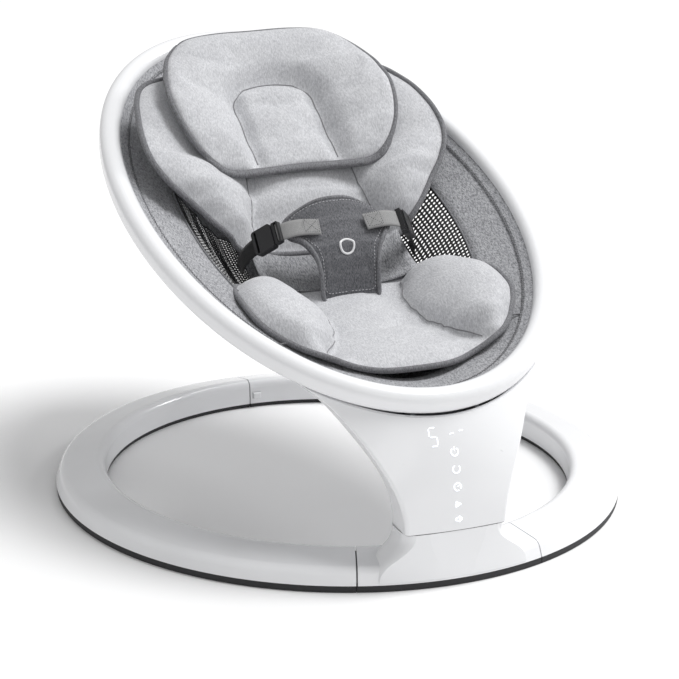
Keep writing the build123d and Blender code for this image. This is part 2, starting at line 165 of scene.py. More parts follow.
@dataclass(frozen=True)
class MetalFinish:
    """A turned or drawn metal with fine directional scratches."""

    name: str
    colour: Point
    roughness: float

    def build(self) -> bpy.types.Material:
        """Make the material."""
        sheet = NodeSheet(self.name, self.colour, self.roughness)
        sheet.shader.inputs["Metallic"].default_value = 1.0
        place = sheet.add("ShaderNodeTexCoord").outputs["Object"]
        stretch = sheet.add("ShaderNodeMapping", Vector=place, Scale=(900.0, 900.0, 60.0))
        lines = sheet.add("ShaderNodeTexNoise", Vector=stretch.outputs["Vector"], Scale=1.0,
                          Detail=3.0)
        spread = sheet.add("ShaderNodeMapRange", Value=lines.outputs["Fac"],
                           To_Min=self.roughness - 0.08,
                           To_Max=self.roughness + 0.12)
        sheet.join(spread.outputs["Result"], "Roughness")
        sheet.bump(lines.outputs["Fac"], 0.2, 0.00002)
        return sheet.material


@dataclass(frozen=True)
class ClothFinish:
    """A melange cloth: mixed light and dark yarns, a nap, and a soft sheen."""

    name: str
    light: Point
    dark: Point
    speckle: float
    nap: float
    sheen: float = 0.25
    weave: float = 1500.0

    def build(self) -> bpy.types.Material:
        """Make the material."""
        sheet = NodeSheet(self.name, self.light, 0.95)
        place = sheet.add("ShaderNodeTexCoord").outputs["Object"]
        yarn = sheet.add("ShaderNodeTexNoise", Vector=place, Scale=self.speckle, Detail=4.0,
                         Roughness=0.7)
        streak_place = sheet.add("ShaderNodeMapping", Vector=place, Scale=(1.0, 0.3, 0.3))
        streak = sheet.add("ShaderNodeTexNoise", Vector=streak_place.outputs["Vector"],
                           Scale=self.speckle * 0.8, Detail=2.0)
        broad = sheet.add("ShaderNodeTexNoise", Vector=place, Scale=28.0, Detail=4.0)
        mixed = sheet.add("ShaderNodeMath", operation="MULTIPLY")
        sheet.tree.links.new(yarn.outputs["Fac"], mixed.inputs[0])
        sheet.tree.links.new(streak.outputs["Fac"], mixed.inputs[1])
        base = sheet.ramp(mixed.outputs["Value"], self.dark, self.light, 0.14, 0.36)
        worn = sheet.ramp(broad.outputs["Fac"], (0.93, 0.93, 0.935), (1.0, 1.0, 1.0), 0.35, 0.65)
        blend = sheet.add("ShaderNodeMix", data_type="RGBA", blend_type="MULTIPLY")
        blend.inputs["Factor"].default_value = 1.0
        sheet.tree.links.new(base, blend.inputs[6])
        sheet.tree.links.new(worn, blend.inputs[7])
        sheet.join(blend.outputs[2], "Base Color")
        threads = sheet.add("ShaderNodeTexVoronoi", Vector=place, Scale=self.weave)
        nap = sheet.add("ShaderNodeMath", operation="ADD")
        sheet.tree.links.new(threads.outputs["Distance"], nap.inputs[0])
        sheet.tree.links.new(yarn.outputs["Fac"], nap.inputs[1])
        sheet.bump(nap.outputs["Value"], 0.7, self.nap)
        sheet.shader.inputs["Sheen Weight"].default_value = self.sheen
        sheet.shader.inputs["Sheen Roughness"].default_value = 0.45
        sheet.shader.inputs["Specular IOR Level"].default_value = 0.2
        return sheet.material


@dataclass(frozen=True)
class WebbingFinish:
    """Woven webbing: ribs across and along the piece's own UV map."""

    name: str
    light: Point
    dark: Point
    ribs: float = 320.0

    def build(self) -> bpy.types.Material:
        """Make the material; UV is in metres along and across the strap."""
        sheet = NodeSheet(self.name, self.light, 0.85)
        place = sheet.add("ShaderNodeTexCoord").outputs["UV"]
        turn = sheet.add("ShaderNodeMapping", Vector=place, Rotation=(0.0, 0.0, math.radians(45.0)))
        wave = sheet.add("ShaderNodeTexWave", Vector=turn.outputs["Vector"], Scale=self.ribs)
        cross = sheet.add("ShaderNodeTexWave", Vector=place, Scale=self.ribs * 0.8,
                          bands_direction="Y")
        lift = sheet.add("ShaderNodeMath", operation="MULTIPLY")
        sheet.tree.links.new(wave.outputs["Fac"], lift.inputs[0])
        sheet.tree.links.new(cross.outputs["Fac"], lift.inputs[1])
        sheet.join(sheet.ramp(lift.outputs["Value"], self.dark, self.light, 0.0, 0.7), "Base Color")
        sheet.bump(lift.outputs["Value"], 0.8, 0.0004)
        sheet.shader.inputs["Sheen Weight"].default_value = 0.15
        return sheet.material


@dataclass(frozen=True)
class NetFinish:
    """Open spacer net: black cords with see-through holes on the piece's UV map."""

    name: str
    colour: Point
    pitch: float = 0.0047

    def build(self) -> bpy.types.Material:
        """Make the material; UV is in metres."""
        sheet = NodeSheet(self.name, self.colour, 0.7)
        place = sheet.add("ShaderNodeTexCoord").outputs["UV"]
        cells = sheet.add("ShaderNodeTexVoronoi", Vector=place, Scale=1.0 / self.pitch,
                          Randomness=0.0,
                          voronoi_dimensions="2D")
        holes = sheet.add("ShaderNodeMath", operation="GREATER_THAN")
        sheet.tree.links.new(cells.outputs["Distance"], holes.inputs[0])
        holes.inputs[1].default_value = 0.33
        sheet.join(holes.outputs["Value"], "Alpha")
        sheet.bump(cells.outputs["Distance"], 0.6, 0.0006)
        return sheet.material


@dataclass(frozen=True)
class GlowFinish:
    """A lit icon shining through the housing."""

    name: str
    colour: Point
    strength: float

    def build(self) -> bpy.types.Material:
        """Make the material."""
        sheet = NodeSheet(self.name, self.colour, 0.3)
        place = sheet.add("ShaderNodeTexCoord").outputs["Object"]
        soft = sheet.add("ShaderNodeTexNoise", Vector=place, Scale=400.0)
        sheet.join(sheet.ramp(soft.outputs["Fac"], [c * 0.95 for c in self.colour], self.colour),
                   "Base Color")
        sheet.shader.inputs["Emission Color"].default_value = (*self.colour, 1.0)
        sheet.shader.inputs["Emission Strength"].default_value = self.strength
        return sheet.material


class Finishes:
    """Every finish on the swing, made once."""

    def __init__(self) -> None:
        """Build the materials."""
        self.white = PlasticFinish("white_gloss", (0.83, 0.835, 0.85), 0.24, 0.00002, 700.0,
                                   0.35).build()
        self.rubber = PlasticFinish("rubber_black", (0.018, 0.018, 0.02), 0.62, 0.0001,
                                    500.0).build()
        self.inner = PlasticFinish("inner_grey", (0.2, 0.205, 0.22), 0.5).build()
        self.black = PlasticFinish("buckle_black", (0.013, 0.013, 0.015), 0.34, 0.00006,
                                   1200.0).build()
        self.board = PlasticFinish("circuit_board", (0.02, 0.12, 0.05), 0.4).build()
        self.steel = MetalFinish("steel", (0.6, 0.6, 0.61), 0.32).build()
        self.magnet = MetalFinish("magnet", (0.66, 0.66, 0.68), 0.22).build()
        self.copper = MetalFinish("copper", (0.72, 0.36, 0.2), 0.35).build()
        self.pad = ClothFinish("pad_cloth", (0.68, 0.685, 0.705), (0.44, 0.445, 0.465), 1050.0,
                               0.0005).build()
        self.sling = ClothFinish("sling_cloth", (0.5, 0.505, 0.525), (0.16, 0.162, 0.172), 1000.0,
                                 0.0004,
                                 0.12).build()
        self.binding = ClothFinish("binding_cloth", (0.26, 0.262, 0.275), (0.1, 0.101, 0.108),
                                   1500.0, 0.0003,
                                   0.1).build()
        self.harness = ClothFinish("harness_cloth", (0.2, 0.202, 0.215), (0.065, 0.066, 0.072),
                                   1500.0,
                                   0.0004, 0.1).build()
        self.web_grey = WebbingFinish("web_grey", (0.46, 0.46, 0.46), (0.2, 0.2, 0.2)).build()
        self.web_black = WebbingFinish("web_black", (0.02, 0.02, 0.022),
                                       (0.004, 0.004, 0.005)).build()
        self.net = NetFinish("net_black", (0.012, 0.012, 0.013)).build()
        self.thread_light = ClothFinish("thread_light", (0.6, 0.6, 0.62), (0.42, 0.42, 0.44),
                                        3000.0,
                                        0.00005).build()
        self.thread_dark = ClothFinish("thread_dark", (0.1, 0.1, 0.11), (0.05, 0.05, 0.055), 3000.0,
                                       0.00005).build()
        # Dark grey seam lines: painted shade for the creases at the pad seams.
        self.crease_shade = ClothFinish("painted_seam_shade", (0.3, 0.3, 0.31), (0.18, 0.18, 0.19), 2500.0,
                                  0.0001).build()
        self.glow = GlowFinish("icon_glow", (0.85, 0.92, 1.0), 1.6).build()
        self.mark = ClothFinish("mark_white", (0.85, 0.85, 0.86), (0.75, 0.75, 0.76), 2500.0,
                                0.0001).build()


# ------------------------------------------------------------------ the seat's own frame
@dataclass(frozen=True)
class SeatFrame:
    """The hoop's plane: x across, s along towards the head, w above the plane."""

    tilt: float = math.radians(18.6)
    half_length: float = 384 * MM
    half_width: float = 229 * MM
    egg: float = -0.03
    side_rise: float = 6.5 * MM
    tube: float = 12.5 * MM

    def origin(self) -> Vector:
        """The middle of the hoop's plane, from the hoop's own box."""
        low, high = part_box("hoop_upper_shell")
        middle = (Vector(low) + Vector(high)) / 2
        return Vector((0.0, middle.y - 2.7 * MM, middle.z + 5.3 * MM))

    def matrix(self) -> Matrix:
        """The turn and place that take seat coordinates to the row's."""
        return Matrix.Translation(self.origin()) @ Matrix.Rotation(self.tilt, 4, "X")

    def rim(self, turn: float, inward: float, above: float) -> Vector:
        """A point beside the hoop's centre line, in the seat frame.

        Args:
            turn: Angle from the head, in radians.
            inward: Distance towards the seat's middle.
            above: Height over the centre line.

        Returns:
            The point as (x, s, w).
        """
        def line(a: float) -> Vector:
            return Vector((self.half_width * math.sin(a) * (1 + self.egg * math.cos(a)),
                           self.half_length * math.cos(a), 0.0))
        tangent = (line(turn + 0.001) - line(turn - 0.001)).normalized()
        normal = Vector((tangent.y, -tangent.x, 0.0))
        point = line(turn) + normal * inward
        point.z = -self.side_rise * math.cos(2 * turn) + above
        return point


SEAT = SeatFrame()


# ------------------------------------------------------------------ mesh helpers
def finish_mesh(name: str, bm: bmesh.types.BMesh, materials: Sequence[bpy.types.Material],
                seat_frame: bool = True) -> bpy.types.Object:
    """Turn a bmesh into a smooth, outward-facing object at the origin.

    Args:
        name: The piece's name.
        bm: The mesh, freed here.
        materials: Its material slots in order.
        seat_frame: True if the mesh is in the seat's frame.

    Returns:
        The new object.
    """
    if seat_frame:
        bm.transform(SEAT.matrix())
    bmesh.ops.remove_doubles(bm, verts=bm.verts, dist=0.00001)
    bmesh.ops.recalc_face_normals(bm, faces=bm.faces)
    mesh = bpy.data.meshes.new(name)
    bm.to_mesh(mesh)
    bm.free()
    for polygon in mesh.polygons:
        polygon.use_smooth = True
    for material in materials:
        mesh.materials.append(material)
    piece = bpy.data.objects.new(name, mesh)
    bpy.context.scene.collection.objects.link(piece)
    return piece


def subdivide(piece: bpy.types.Object, levels: int = 1) -> None:
    """Add one live subdivision with matching view and render levels."""
    modifier = piece.modifiers.new("Subdivision", "SUBSURF")
    modifier.levels = levels
    modifier.render_levels = levels


def settle(piece: bpy.types.Object, body: str) -> None:
    """Ride a piece on its body."""
    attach(piece, body)
    LOG.info("%s on %s: %d faces", piece.name, body, len(piece.data.polygons))


def cord_tube(bm: bmesh.types.BMesh, points: Sequence[Vector], radius: float, closed: bool = False,
              sides: int = 10, squash: float = 1.0, taper: int = 0) -> None:
    """Add a tube along points: a ring is extruded from place to place.

    Args:
        bm: The mesh to add to.
        points: The centre line.
        radius: The tube's radius.
        closed: True joins the last ring to the first.
        sides: Corners round the ring.
        squash: Height of the ring as a share of its width.
        taper: Points over which an open tube's ends swell to full size.
    """
    count = len(points)
    rings: list[list[bmesh.types.BMVert]] = []
    up = Vector((0.0, 0.0, 1.0))
    for i, point in enumerate(points):
        ahead = points[(i + 1) % count] if closed else points[min(i + 1, count - 1)]
        behind = points[i - 1] if closed or i else points[0]
        tangent = (ahead - behind).normalized()
        side = tangent.cross(up).normalized()
        turn = Matrix((side, tangent.cross(side) * -squash, tangent)).transposed().to_4x4()
        place = Matrix.Translation(point) @ turn
        swell = min(1.0, (min(i, count - 1 - i) + 1) / (taper + 1))
        rings.append(bmesh.ops.create_circle(bm, cap_ends=False, segments=sides,
                                             radius=radius * swell,
                                             matrix=place)["verts"])
    pairs = list(zip(rings, rings[1:])) + ([(rings[-1], rings[0])] if closed else [])
    for first, second in pairs:
        loop = {e for v in first + second for e in v.link_edges if e.other_vert(v) in first + second}
        ends = [e for e in loop if (e.verts[0] in first) == (e.verts[1] in first)]
        bmesh.ops.bridge_loops(bm, edges=ends)
    if not closed:
        for ring in (rings[0], rings[-1]):
            bmesh.ops.contextual_create(bm, geom=ring)


def smooth_line(points: Sequence[Vector], steps: int = 6, closed: bool = False) -> list[Vector]:
    """Points on a smooth curve through the given ones.

    Args:
        points: The points to pass through.
        steps: New points per span.
        closed: True if the curve returns to its start.

    Returns:
        The finer points.
    """
    count = len(points)
    spans = count if closed else count - 1
    line: list[Vector] = []
    for i in range(spans):
        a = points[i - 1] if closed or i else points[0]
        b, c = points[i], points[(i + 1) % count]
        d = points[(i + 2) % count] if closed else points[min(i + 2, count - 1)]
        for k in range(steps):
            t = k / steps
            line.append(0.5 * (2 * b + (c - a) * t + (2 * a - 5 * b + 4 * c - d) * t * t
                               + (3 * b - a - 3 * c + d) * t ** 3))
    if not closed:
        line.append(points[-1].copy())
    return line


def even_line(points: Sequence[Vector], pitch: float, closed: bool = False) -> list[Vector]:
    """Points a fixed distance apart along a line.

    Returns:
        The evenly spaced points.
    """
    ring = list(points) + ([points[0]] if closed else [])
    out = [ring[0].copy()]
    carry = 0.0
    for a, b in zip(ring, ring[1:]):
        length = (b - a).length
        while carry + length >= pitch:
            a = a + (b - a) * ((pitch - carry) / length)
            out.append(a.copy())
            length = (b - a).length
            carry = 0.0
        carry += length
    return out


def stitch_row(bm: bmesh.types.BMesh, points: Sequence[Vector], normal: Callable[[Vector], Vector],
               pitch: float = 4.2 * MM, thread: float = 0.45 * MM, closed: bool = False) -> None:
    """Add a row of raised stitches along a line.

    Args:
        bm: The mesh to add to.
        points: The seam's line.
        normal: Gives the cloth's outward direction at a point.
        pitch: Stitch length with its gap.
        thread: Thread radius.
        closed: True if the line is a loop.
    """
    line = even_line(points, pitch, closed)
    for a, b in zip(line, line[1:]):
        along = (b - a)
        out = normal(a)
        side = along.cross(out).normalized()
        turn = Matrix((side, out, along.normalized())).transposed().to_4x4()
        scale = Matrix.Diagonal((thread, thread * 0.8, along.length * 0.36, 1.0))
        place = Matrix.Translation((a + b) / 2 + out * thread * 0.3) @ turn @ scale
        bmesh.ops.create_icosphere(bm, subdivisions=1, radius=1.0, matrix=place)


# ------------------------------------------------------------------ padded pieces
@dataclass
class Outline:
    """A closed edge given by its right half, from the bottom middle to the top middle."""

    half: Sequence[Point]
    centre: tuple[float, float]

    def __post_init__(self) -> None:
        """Mirror the half and make the smooth closed edge."""
        right = [Vector(p) * MM for p in self.half]
        left = [Vector((-p.x, p.y, p.z)) for p in reversed(right[1:-1])]
        self.loop = smooth_line(right + left, 8, closed=True)
        self.middle = Vector((self.centre[0], self.centre[1], 0.0)) * MM
        self.polar = sorted((math.atan2(p.x - self.middle.x, p.y - self.middle.y),
                             p) for p in self.loop)

    def edge(self, turn: float) -> Vector:
        """The edge point in a direction from the middle; 0 is towards the head."""
        angles = self.polar
        for (a, p), (b, q) in zip(angles, angles[1:]):
            if a <= turn <= b:
                return p.lerp(q, (turn - a) / max(b - a, 1e-9))
        (a, p), (b, q) = angles[-1], angles[0]
        span = b + math.tau - a
        gap = turn - a if turn >= a else turn + math.tau - a
        return p.lerp(q, gap / span)


Relief = Callable[[float, float, float, float], tuple[float, float]]
Stops = Sequence[tuple[float, float]]


def spot_key(vert: bmesh.types.BMVert) -> tuple[float, float]:
    """A vertex's place seen from above, rounded so that a copy matches it."""
    return round(vert.co.x, 6), round(vert.co.y, 6)


def filled_grid(outline: Outline, relief: Relief, cells: int) -> tuple[bmesh.types.BMesh, dict]:
    """Stretch a square grid over an outline and give it the top's heights.

    Args:
        outline: The edge to fill.
        relief: Heights of the top and the underside.
        cells: Cells along each side of the grid.

    Returns:
        The mesh, and the underside's height at each place.
    """
    bm = bmesh.new()
    bmesh.ops.create_grid(bm, x_segments=cells, y_segments=cells, size=1.0)
    under: dict[tuple[float, float], float] = {}
    for vert in bm.verts:
        u, v = vert.co.x, vert.co.y
        du, dv = u * math.sqrt(1 - v * v / 2), v * math.sqrt(1 - u * u / 2)
        share, turn = min(math.hypot(du, dv), 1.0), math.atan2(du, dv)
        edge = outline.edge(turn)
        x = outline.middle.x + (edge.x - outline.middle.x) * share
        s = outline.middle.y + (edge.y - outline.middle.y) * share
        top, low = relief(x, s, share, edge.z)
        vert.co = (x, s, top)
        under[spot_key(vert)] = low
    return bm, under


@dataclass
class PaddedPiece:
    """A stuffed panel: an outline filled with a crowned top and a softer underside."""

    name: str
    outline: Outline
    relief: Relief
    seams: Sequence[Sequence[Vector]] = ()
    cells: int = 64
    pressure: float = 3.0
    slack: float = -0.004
    cap: float = 5 * MM
    frames: int = 16

    def surface(self, x: float, s: float) -> float:
        """Height of the top at a place, in the seat frame."""
        turn = math.atan2(x - self.outline.middle.x, s - self.outline.middle.y)
        edge = self.outline.edge(turn)
        reach = math.hypot(edge.x - self.outline.middle.x, edge.y - self.outline.middle.y)
        share = min(math.hypot(x - self.outline.middle.x, s - self.outline.middle.y) / reach, 1.0)
        return self.relief(x, s, share, edge.z)[0]

    def build(self, materials: Sequence[bpy.types.Material]) -> bpy.types.Object:
        """Make the piece: grid, crown, closing side, then a short pressure simulation.

        Args:
            materials: The cloth for its slots.

        Returns:
            The padded object.
        """
        bm, under = filled_grid(self.outline, self.relief, self.cells)
        grown = bmesh.ops.extrude_face_region(bm, geom=bm.faces[:], use_keep_orig=True)
        for vert in (g for g in grown["geom"] if isinstance(g, bmesh.types.BMVert)):
            vert.co.z = under[spot_key(vert)]
        piece = finish_mesh(self.name, bm, materials)
        self.inflate(piece)
        subdivide(piece)
        return piece

    def inflate(self, piece: bpy.types.Object) -> None:
        """Let the cloth swell and wrinkle a little between its held seams.

        Args:
            piece: The closed pad, changed in place.
        """
        mesh = piece.data
        start = [v.co.copy() for v in mesh.vertices]
        back = SEAT.matrix().inverted()
        held = piece.vertex_groups.new(name="held")
        seams = [p for line in self.seams for p in line] + list(self.outline.loop)
        tree = [Vector((p.x, p.y, 0.0)) for p in seams]
        for vert in mesh.vertices:
            flat = back @ vert.co
            flat.z = 0.0
            near = min((flat - p).length for p in tree)
            held.add([vert.index], max(0.0, 1.0 - near / (11 * MM)), "REPLACE")
        cloth = piece.modifiers.new("Cloth", "CLOTH")
        settings = cloth.settings
        settings.quality = 5
        settings.use_pressure = True
        settings.uniform_pressure_force = self.pressure
        settings.shrink_min = self.slack
        settings.bending_stiffness = 0.6
        settings.tension_stiffness = 12.0
        settings.compression_stiffness = 12.0
        settings.vertex_group_mass = "held"
        settings.effector_weights.gravity = 0.0
        cloth.collision_settings.use_collision = False
        scene = bpy.context.scene
        for step in range(1, self.frames + 1):
            scene.frame_set(step)
        graph = bpy.context.evaluated_depsgraph_get()
        moved = [v.co.copy() for v in piece.evaluated_get(graph).data.vertices]
        piece.modifiers.clear()
        piece.vertex_groups.clear()
        for vert, before, after in zip(mesh.vertices, start, moved):
            shift = after - before
            if shift.length > self.cap:
                shift *= self.cap / shift.length
            vert.co = before + shift
        scene.frame_set(1)


def mix(low: float, high: float, share: float) -> float:
    """A value between two others."""
    return low + (high - low) * share


def table(value: float, stops: Stops) -> float:
    """A smooth value read between stops of (place, value).

    Returns:
        The value at the place, held level past the ends.
    """
    if value <= stops[0][0]:
        return stops[0][1]
    for (a, low), (b, high) in zip(stops, stops[1:]):
        if value <= b:
            share = (value - a) / (b - a)
            return mix(low, high, share * share * (3 - 2 * share))
    return stops[-1][1]


def groove(distance: float, width: float) -> float:
    """0 on a seam, rising to 1 away from it."""
    return 1.0 - math.exp(-(distance / width) ** 2)


def crown(share: float, power: float = 2.6) -> float:
    """A pad's rounded rise from its edge (share 1) to its middle (share 0)."""
    return max(0.0, 1.0 - share ** power) ** 0.55


def seam_piping(name: str, line: Sequence[Vector], radius: float, material: bpy.types.Material,
                closed: bool = True, squash: float = 1.0, taper: int = 0) -> bpy.types.Object:
    """A cord of piping along a line in the seat frame.

    Returns:
        The piping object.
    """
    bm = bmesh.new()
    cord_tube(bm, line, radius, closed, 10, squash, taper)
    return finish_mesh(name, bm, [material])


def crease_shade(name: str, pad: bpy.types.Object, lines: Sequence[Sequence[Vector]],
           material: bpy.types.Material, thread: float = 0.8 * MM) -> bpy.types.Object:
    """Lay a dark line along a seam of a finished pad, following its surface: painted shade for the
    seam's crease.

    Args:
        name: The seam's name.
        pad: The pad it is sewn into.
        lines: The seam lines in the seat frame.
        material: The finish of the painted shade line.
        thread: The painted shade line's half width.

    Returns:
        The object of the painted seam shade.
    """
    graph = bpy.context.evaluated_depsgraph_get()
    place = SEAT.matrix()
    down = place.to_3x3() @ Vector((0.0, 0.0, -1.0))
    bm = bmesh.new()
    for line in lines:
        path = []
        for point in line:
            start = place @ Vector((point.x, point.y, point.z + 60 * MM))
            hit, spot, _, _ = pad.ray_cast(start, down, depsgraph=graph)
            if hit:
                path.append(place.inverted() @ spot)
        if len(path) > 2:
            cord_tube(bm, smooth_line(path, 2), thread, sides=8)
    return finish_mesh(name, bm, [material])


# ------------------------------------------------------------------ back and seat inserts
@dataclass
class Insert:
    """A padded panel with a bolster along each side, piped all round; tables are in millimetres."""

    name: str
    outline: Outline
    middle_height: Stops
    seam_half: Stops
    edge_half: Stops
    edge_height: Stops
    puff: Stops
    seam_run: range
    stands_for: Sequence[str]
    full_reach: float
    steepness: float
    least_reach: float
    bulge: float
    bulge_width: float
    bulge_power: float
    hold_power: float
    thick: float = 12 * MM
    piping: float = 3.4 * MM

    def relief(self, x: float, s: float, share: float, edge: float) -> tuple[float, float]:
        """Heights of the top and the underside.

        Args:
            x: Place across.
            s: Place along.
            share: 0 in the middle, 1 on the edge.
            edge: Height of the edge in that direction.

        Returns:
            The two heights.
        """
        along, across = s / MM, abs(x) / MM
        flat = table(along, self.middle_height) * MM
        seam = table(along, self.seam_half)
        reach = max(table(along, self.edge_half) - seam, self.least_reach)
        if across > seam and reach > 4:
            side = min((across - seam) / reach, 1.0)
            flat = mix(flat, table(along, self.edge_height) * MM, side)
            lift = table(along, self.puff) * MM * math.sin(math.pi * side) ** self.steepness
            lift *= min(1.0, reach / self.full_reach)
        else:
            lift = self.bulge * groove(seam - across, self.bulge_width) * crown(share,
                    self.bulge_power)
        hold = share ** self.hold_power
        top = mix(flat + lift, edge, hold)
        under = mix(flat - self.thick * 0.5, edge, share ** 7) - self.thick * 0.5 * (1 - hold)
        return top, min(under, top)

    def seams(self, piece: PaddedPiece) -> list[list[Vector]]:
        """The two lines between the middle panel and its bolsters."""
        lines = []
        for side in Side:
            stops = [(side.value * table(a, self.seam_half) * MM, a * MM) for a in self.seam_run]
            lines.append([Vector((x, s, piece.surface(x, s) + 0.2 * MM)) for x, s in stops])
        return lines

    def build(self, finish: Finishes) -> list[bpy.types.Object]:
        """Make the insert, its piping and the painted shade lines along its seams."""
        piece = PaddedPiece(self.name, self.outline, self.relief)
        piece.seams = self.seams(piece)
        pad = piece.build([finish.pad])
        edge = seam_piping(f"{self.name}_piping", self.outline.loop, self.piping, finish.binding)
        # Dark lines on the seams between panel and bolsters: painted crease shade.
        seam = crease_shade(f"{self.name}_seams", pad, piece.seams, finish.crease_shade)
        for part in (pad, edge, seam):
            settle(part, ARM)
        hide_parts(*self.stands_for)
        return [pad, edge, seam]


# ------------------------------------------------------------------ headrest pillow
@dataclass
class Pillow:
    """The headrest: a horseshoe roll round a softer middle panel."""

    outline: Outline
    roll: float = 22 * MM
    panel: float = 13 * MM
    under: float = 15 * MM
    piping: float = 3.3 * MM
    panel_half: float = 51.0
    spine: Stops = ((62, 8), (100, 9), (150, 22), (200, 45), (250, 68))
    cup: Stops = ((62, 5), (100, 38), (145, 40), (200, 25), (250, 10))

    def panel_distance(self, across: float, along: float) -> float:
        """Signed distance to the middle panel's edge, in millimetres; negative inside."""
        top = 177 + 14 * (1 - (min(across, self.panel_half) / self.panel_half) ** 2)
        return self.corner(across - self.panel_half, along - top, 14.0)

    @staticmethod
    def corner(a: float, b: float, radius: float) -> float:
        """Join two edges' distances with a rounded corner."""
        outside = math.hypot(max(a + radius, 0.0), max(b + radius, 0.0))
        return min(max(a + radius, b + radius), 0.0) + outside - radius

    def relief(self, x: float, s: float, share: float, edge: float) -> tuple[float, float]:
        """Heights of the top and the underside."""
        along, across = s / MM, abs(x) / MM
        flat = (table(along, self.spine) + table(along, self.cup) * (across / 140) ** 2) * MM
        distance = self.panel_distance(across, along)
        rise = groove(distance,
                      12 if distance > 0 else 9) * (self.roll if distance > 0 else self.panel)
        hold = share ** 14
        top = mix(flat, edge, hold) + rise * crown(share, 4.5)
        under = mix(flat, edge, hold) - self.under * crown(share, 4.5)
        return top, under

    def panel_line(self, piece: PaddedPiece) -> list[Vector]:
        """The stitched edge of the middle panel."""
        stops: list[Vector] = []
        for side in (-1, 1):
            leg = [Vector((side * self.panel_half * MM, a * MM, 0.0)) for a in range(72, 162, 6)]
            arc = [Vector((side * (self.panel_half - 14 + 14 * math.cos(math.radians(t))) * MM,
                           (163 + 14 * math.sin(math.radians(t))) * MM, 0.0)) for t in range(0, 80,
                                   20)]
            half = leg + arc
            stops = half if side < 0 else stops + [
                Vector((x * MM, (177 + 14 * (1 - (x / self.panel_half) ** 2)) * MM, 0.0))
                for x in range(-34, 35, 6)] + half[::-1]
        return [Vector((p.x, p.y, piece.surface(p.x, p.y))) for p in stops]

    def build(self, finish: Finishes) -> list[bpy.types.Object]:
        """Make the pillow, its piping and the wide binding at its foot."""
        piece = PaddedPiece("headrest_pillow_cushion", self.outline, self.relief, pressure=3.5)
        piece.seams = [self.panel_line(piece)]
        pad = piece.build([finish.pad])
        edge = seam_piping("headrest_piping", self.outline.loop, self.piping, finish.binding)
        foot = [p + Vector((0.0, -2.5 * MM, -1.0 * MM)) for p in self.outline.loop if p.y < 84 * MM]
        foot.sort(key=lambda p: p.x)
        band = seam_piping("headrest_foot_binding", foot, 6.0 * MM, finish.binding, False, 0.7, 9)
        # Dark line on the middle panel's seam: painted crease shade.
        seam = crease_shade("headrest_panel_seam", pad, piece.seams, finish.crease_shade)
        for part in (pad, edge, band, seam):
            settle(part, ARM)
        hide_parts("headrest_pillow")
        return [pad, edge, band, seam]


# ------------------------------------------------------------------ crotch pad and harness
@dataclass
class CrotchPad:
    """The curved pad that comes up between the legs and holds the harness tabs."""

    outline: Outline
    thick: float = 7 * MM
    hem: float = 6 * MM
    spine: Stops = (
        (-126, -58), (-118, -44), (-110, -28), (-100, -11), (-89, 1), (-75, 9), (-60, 16),
        (-36, 26))
    drop: Stops = ((-126, -3), (-97, 0), (-81, 4), (-65, 11), (-49, 20),
                                           (-32, 26))
    half: Stops = ((-126, 34), (-97, 38), (-81, 51), (-49, 62), (-32, 60))

    def relief(self, x: float, s: float, share: float, edge: float) -> tuple[float, float]:
        """Heights of the top; the underside comes from a solidify."""
        along, across = s / MM, abs(x) / MM
        reach = (across / table(along, self.half)) ** 2
        top = (table(along, self.spine) - table(along, self.drop) * reach) * MM
        return mix(top, edge, share ** 20), top

    def build(self, finish: Finishes) -> list[bpy.types.Object]:
        """Make the pad, its bound edge, its stitching and its plain round mark."""
        piece = PaddedPiece("crotch_pad_cover", self.outline, self.relief, cells=30)
        bm, _ = filled_grid(self.outline, self.relief, piece.cells)
        bmesh.ops.solidify(bm, geom=bm.faces[:], thickness=self.thick)
        pad = finish_mesh(piece.name, bm, [finish.harness])
        bevel = pad.modifiers.new("Bevel", "BEVEL")
        bevel.width = 2.4 * MM
        bevel.segments = 3
        bevel.limit_method = "ANGLE"
        edge = seam_piping("crotch_pad_binding", self.outline.loop, 2.6 * MM, finish.binding)
        line = []
        for point in self.outline.loop:
            inward = (self.outline.middle - Vector((point.x, point.y, 0.0))).normalized() * self.hem
            x, s = point.x + inward.x, point.y + inward.y
            line.append(Vector((x, s, piece.surface(x, s) + 0.4 * MM)))
        bm = bmesh.new()
        stitch_row(bm, smooth_line(line, 2, True), lambda p: Vector((0.0, -0.3, 0.95)), closed=True)
        stitches = finish_mesh("crotch_pad_stitches", bm, [finish.thread_light])
        ring = [Vector((8.5 * MM * math.cos(a), -92 * MM + 6 * MM * math.sin(a), 0.0))
                for a in (math.tau * k / 40 for k in range(40))]
        ring = [Vector((p.x, p.y, piece.surface(p.x, p.y) + 0.3 * MM)) for p in ring]
        mark = seam_piping("crotch_pad_mark", ring, 1.3 * MM, finish.mark)
        parts = [pad, edge, stitches, mark]
        for part in parts:
            settle(part, ARM)
        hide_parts("crotch_pad")
        return parts


